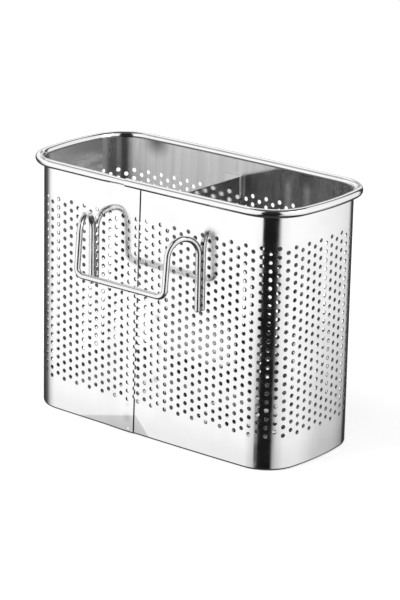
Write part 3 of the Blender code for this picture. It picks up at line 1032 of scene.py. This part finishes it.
def back_haze_and_painted_light(nodes):
    """Haze and painted light on the back wall, kept under the divider's mirrored edge only on its left,
    and two pale patches.
    """
    x, y, z = nodes.axes()
    over = nodes.spread(nodes.less(z, nodes.line(x, *MIRRORED_EDGE)), MIRRORED_EDGE_BLUR)
    # Right of the divider and under its mirrored edge, no painted light: the painted dark reflection
    hidden = nodes.multiply(nodes.spread(x, PAST_DIVIDER_X), nodes.less(1.0, over))
    haze_and_painted_light = nodes.multiply(
        nodes.spread(x, PAINTED_LIGHT_LEFT_X),
        nodes.spread(y, BACK_SIDE_Y),
        nodes.spread(z, PAINTED_LIGHT_LOW_Z),
        nodes.less(1.0, hidden),
        nodes.less(1.0, inner_crease(nodes, z)),
    )
    # Two pale patches of painted light on the back wall right of the divider
    for place in BACK_PALE_PATCHES:
        away = nodes.math("ABSOLUTE", nodes.less(x, place), 0.0)
        pale_patch = nodes.multiply(
            nodes.spread(away, BACK_PALE_PATCH_REACH, (0.34, 0.0)),
            back_right(nodes, x, y),
            nodes.spread(z, BACK_PALE_PATCHES_TOP_Z, GOES),
        )
        haze_and_painted_light = nodes.most(haze_and_painted_light, pale_patch)
    return haze_and_painted_light


def inner_wall_material():
    """The inside of the wall, with painted shade and painted light: painted reflections at the left end,
    hazy and painted pale at the back left, clear at the back right.
    """
    nodes, colour, rough = polish("inner_wall_polish", level=0.74, roughness=0.10)
    # Haze with painted light: pale and less metallic at the back and at the left end
    haze_and_painted_light = nodes.most(back_haze_and_painted_light(nodes), left_end_haze_and_painted_light(nodes))
    streak = nodes.spread(nodes.noise(scale=420.0, stretch=(1.0, 1.0, 0.03)), (0.3, 0.7))
    # Painted shadow at the back left, laid over the pale painted light
    painted_dark_spot = nodes.multiply(nodes.spot(BACK_PAINTED_SHADOW, BACK_PAINTED_SHADOW_RADIUS), 0.95)
    # Painted shade darkens the inside towards dark grey
    painted_shade_colour = nodes.blend(inner_shade(nodes), colour, grey(0.22))
    pale = nodes.blend(painted_dark_spot, nodes.blend(streak, grey(0.98), grey(0.84)), grey(0.16))
    nodes.paint(Base_Color=nodes.blend(haze_and_painted_light, painted_shade_colour, pale))
    nodes.paint(Metallic=nodes.spread(haze_and_painted_light, (0.0, 1.0), (1.0, 0.15)))
    nodes.paint(Roughness=nodes.total(rough, nodes.multiply(streak, 0.08), nodes.multiply(haze_and_painted_light, 0.4)))
    return nodes.owner


def divider_material():
    """The divider's polish: hazy and painted pale on its back flange, with a painted highlight as a
    bright strip at the fold.
    """
    nodes, colour, rough = polish("divider_polish", level=0.78, roughness=0.08)
    x, y, z = nodes.axes()
    # Painted light on the back flange and a painted highlight along the fold
    flange = nodes.multiply(nodes.spread(x, FLANGE_X, GOES), nodes.spread(y, FLANGE_Y))
    strip = nodes.multiply(nodes.spread(y, FOLD_STRIP_Y), nodes.spread(z, FOLD_STRIP_Z))
    haze_and_painted_light = nodes.multiply(nodes.most(flange, strip), nodes.spread(z, FLANGE_TOP_Z, GOES))
    nodes.paint(Base_Color=nodes.blend(haze_and_painted_light, colour, grey(0.98)))
    nodes.paint(Metallic=nodes.spread(haze_and_painted_light, (0.0, 1.0), (1.0, 0.10)))
    nodes.paint(Roughness=nodes.total(rough, nodes.multiply(haze_and_painted_light, 0.4)))
    return nodes.owner


def cut_edge_material():
    """Punched and sheared edges: duller steel, unevenly burnished."""
    nodes = SteelNodes("cut_edge")
    grain = nodes.noise(scale=1500.0, detail=3.0)
    burnish = nodes.spread(nodes.noise(scale=130.0, detail=1.0), (0.38, 0.62), (0.0, 0.8))
    toned = nodes.blend(grain, grey(0.46), grey(0.34))
    nodes.paint(Base_Color=nodes.blend(burnish, toned, grey(0.72)))
    nodes.paint(Roughness=nodes.spread(grain, (0.2, 0.8), (0.22, 0.40)))
    return nodes.owner


def weld_material():
    """Weld beads: rough, slightly straw-coloured steel."""
    nodes = SteelNodes("weld_bead")
    grain = nodes.noise(scale=700.0, detail=4.0)
    nodes.paint(Base_Color=nodes.blend(grain, (0.62, 0.58, 0.52, 1.0), (0.42, 0.40, 0.38, 1.0)))
    nodes.paint(Roughness=nodes.spread(grain, (0.2, 0.8), (0.25, 0.5)))
    nodes.paint(Normal=nodes.bump(grain, strength=0.4, distance=0.0002))
    return nodes.owner


class ClothNodes(Nodes):
    """The nodes of a cloth that does nothing but glow."""

    def __init__(self, name):
        super().__init__(bpy.data.materials.new(name), "Material Output")
        self.tree.nodes.remove(self.tree.nodes["Principled BSDF"])

    def glow(self, colour):
        self.paint(Surface=self.add("Emission", {"Color": colour}).outputs["Emission"])
        return self.owner

    def ramp(self, around, levels):
        """The brightness round the tent from a list of angles and levels."""
        node = self.add("ValToRGB", {"Fac": around})
        stops = node.color_ramp.elements
        while len(stops) < len(levels):
            stops.new(0.5)
        for stop, (angle, level) in zip(stops, levels):
            stop.position = (angle + 180) / 360
            stop.color = neutral(level)
        return node.outputs["Color"]


def tent_cloth(name, low_levels, high_levels):
    """A cloth that fades from one list of levels at its foot to another at its top."""
    nodes = ClothNodes(name)
    where = nodes.add("UVMap", {}, uv_map="round").outputs["UV"]
    around, up, _ = nodes.add("SeparateXYZ", {"Vector": where}).outputs
    return nodes.glow(nodes.blend(up, nodes.ramp(around, low_levels), nodes.ramp(around, high_levels)))


def flag_levels(first, last):
    """The upper cloth's levels with a grey flag between two angles."""
    soft = TENT_FLAG_SOFT
    flag = ((first - soft, 1.0), (first, TENT_FLAG_LEVEL), (last, TENT_FLAG_LEVEL), (last + soft, 1.0))
    before = tuple(level for level in TENT_UPPER_LEVELS if level[0] < first - soft)
    after = tuple(level for level in TENT_UPPER_LEVELS if level[0] > last + soft)
    return before + flag + after


def tent_bands():
    """The tent's bands: lowest and highest height, the cloth's upper share at both, and the cloth."""
    low_cloth = tent_cloth("tent_low_cloth", TENT_LOW_LEVELS, TENT_HIGH_LEVELS)
    high_cloth = tent_cloth("tent_high_cloth", TENT_HIGH_LEVELS, TENT_UPPER_LEVELS)
    top_cloth = tent_cloth("tent_top_cloth", TENT_UPPER_LEVELS, TENT_TOP_LEVELS)
    bands = [
        (TENT_FLOOR, TENT_LOW_FADE[0], 0.0, 0.0, low_cloth),
        (*TENT_LOW_FADE, 0.0, 1.0, low_cloth),
        (TENT_LOW_FADE[1], TENT_HIGH_FADE[0], 0.0, 0.0, high_cloth),
        (*TENT_HIGH_FADE, 0.0, 1.0, high_cloth),
        (TENT_HIGH_FADE[1], TENT_FLAGS[0][0], 0.0, 0.0, top_cloth),
        (TENT_FLAGS[-1][1], TENT_TOP, 1.0, 1.0, top_cloth),
    ]
    for place, (low, high, first, last) in enumerate(TENT_FLAGS):
        flag = tent_cloth(f"tent_flag_{place}", TENT_UPPER_LEVELS, flag_levels(first, last))
        bands.append((low, high, 1.0, 1.0, flag))
    return bands


def make_tent():
    """A round tent that only reflections see: pale, with dark flags, floor and ceiling."""
    bands = tent_bands()
    ends = (
        (TENT_FLOOR, ClothNodes("tent_floor").glow(neutral(TENT_FLOOR_LEVEL))),
        (TENT_TOP, ClothNodes("tent_ceiling").glow(neutral(TENT_CEILING_LEVEL))),
    )
    cloths = list(dict.fromkeys([band[-1] for band in bands] + [end[-1] for end in ends]))
    shape = bmesh.new()
    layer = shape.loops.layers.uv.new("round")

    def corner(step, height):
        angle = math.radians(-180 + 360 * step / TENT_STATIONS)
        return shape.verts.new((TENT_RADIUS * math.sin(angle), -TENT_RADIUS * math.cos(angle), height))

    for low, high, low_share, high_share, cloth in bands:
        for step in range(TENT_STATIONS):
            foot, top = (low, low_share), (high, high_share)
            ring = ((step, *foot), (step + 1, *foot), (step + 1, *top), (step, *top))
            face = shape.faces.new([corner(across, height) for across, height, _ in ring])
            face.material_index = cloths.index(cloth)
            for loop, (across, _, share) in zip(face.loops, ring):
                loop[layer].uv = (across / TENT_STATIONS, share)
    for height, cloth in ends:
        face = shape.faces.new([corner(step, height) for step in range(TENT_STATIONS)])
        face.material_index = cloths.index(cloth)
    tent = add_object("light_tent", shape, *cloths)
    tent.visible_camera = False
    tent.visible_diffuse = False
    tent.visible_shadow = False
    tent.visible_transmission = False


def make_floor():
    shape = bmesh.new()
    half = FLOOR_HALF
    corners = ((-half, -half), (half, -half), (half, half), (-half, half))
    shape.faces.new([shape.verts.new((x, y, FLOOR_LEVEL)) for x, y in corners])
    nodes = Nodes(bpy.data.materials.new("floor_white"), "Principled BSDF")
    nodes.paint(Base_Color=neutral(FLOOR_GREY), Roughness=0.9, Specular_IOR_Level=0.0)
    glow = nodes.multiply(nodes.background_rays(), FLOOR_GLOW)
    nodes.paint(Emission_Color=neutral(1.0), Emission_Strength=glow)
    floor = add_object("floor", shape, nodes.owner)
    floor.visible_glossy = False


def make_world():
    world = bpy.data.worlds.new("studio")
    bpy.context.scene.world = world
    nodes = Nodes(world, "Background")
    levels = (WORLD_LIGHT, WORLD_SEEN)
    nodes.paint(Color=neutral(1.0), Strength=nodes.spread(nodes.background_rays(), (0.0, 1.0), levels))


def set_up(name, data, place, turn):
    thing = bpy.data.objects.new(name, data)
    thing.location = place
    thing.rotation_euler = turn
    bpy.context.scene.collection.objects.link(thing)
    return thing


def make_lamps():
    for name, (place, size, power, mirrored) in LAMPS.items():
        lamp = bpy.data.lights.new(name, "AREA")
        lamp.shape = "SQUARE"
        lamp.size = size
        lamp.energy = power
        aim = Vector(LAMP_AIM) - Vector(place)
        thing = set_up(name, lamp, place, aim.to_track_quat("-Z", "Y").to_euler())
        thing.visible_glossy = mirrored


def make_camera():
    camera = bpy.data.cameras.new("camera")
    camera.lens = CAMERA_LENS
    camera.sensor_width = CAMERA_SENSOR
    turn = [math.radians(angle) for angle in CAMERA_TURN]
    bpy.context.scene.camera = set_up("camera", camera, CAMERA_PLACE, turn)


def dress():
    make_camera()
    for piece, node, slot in (
        (make_wall(), "basket_wall", "wall_steel"),
        (make_pan(), "base_pan", "pan_steel"),
        (make_divider(), "divider_panel", "divider_steel"),
        (make_hanger(), "hanger_wire", "wire_steel"),
    ):
        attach(piece, "root")
        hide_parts(node)
    welds = make_welds()
    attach(welds, "root")
    make_floor()
    make_tent()
    make_world()
    make_lamps()
    bpy.context.scene.view_settings.view_transform = "Standard"


dress()
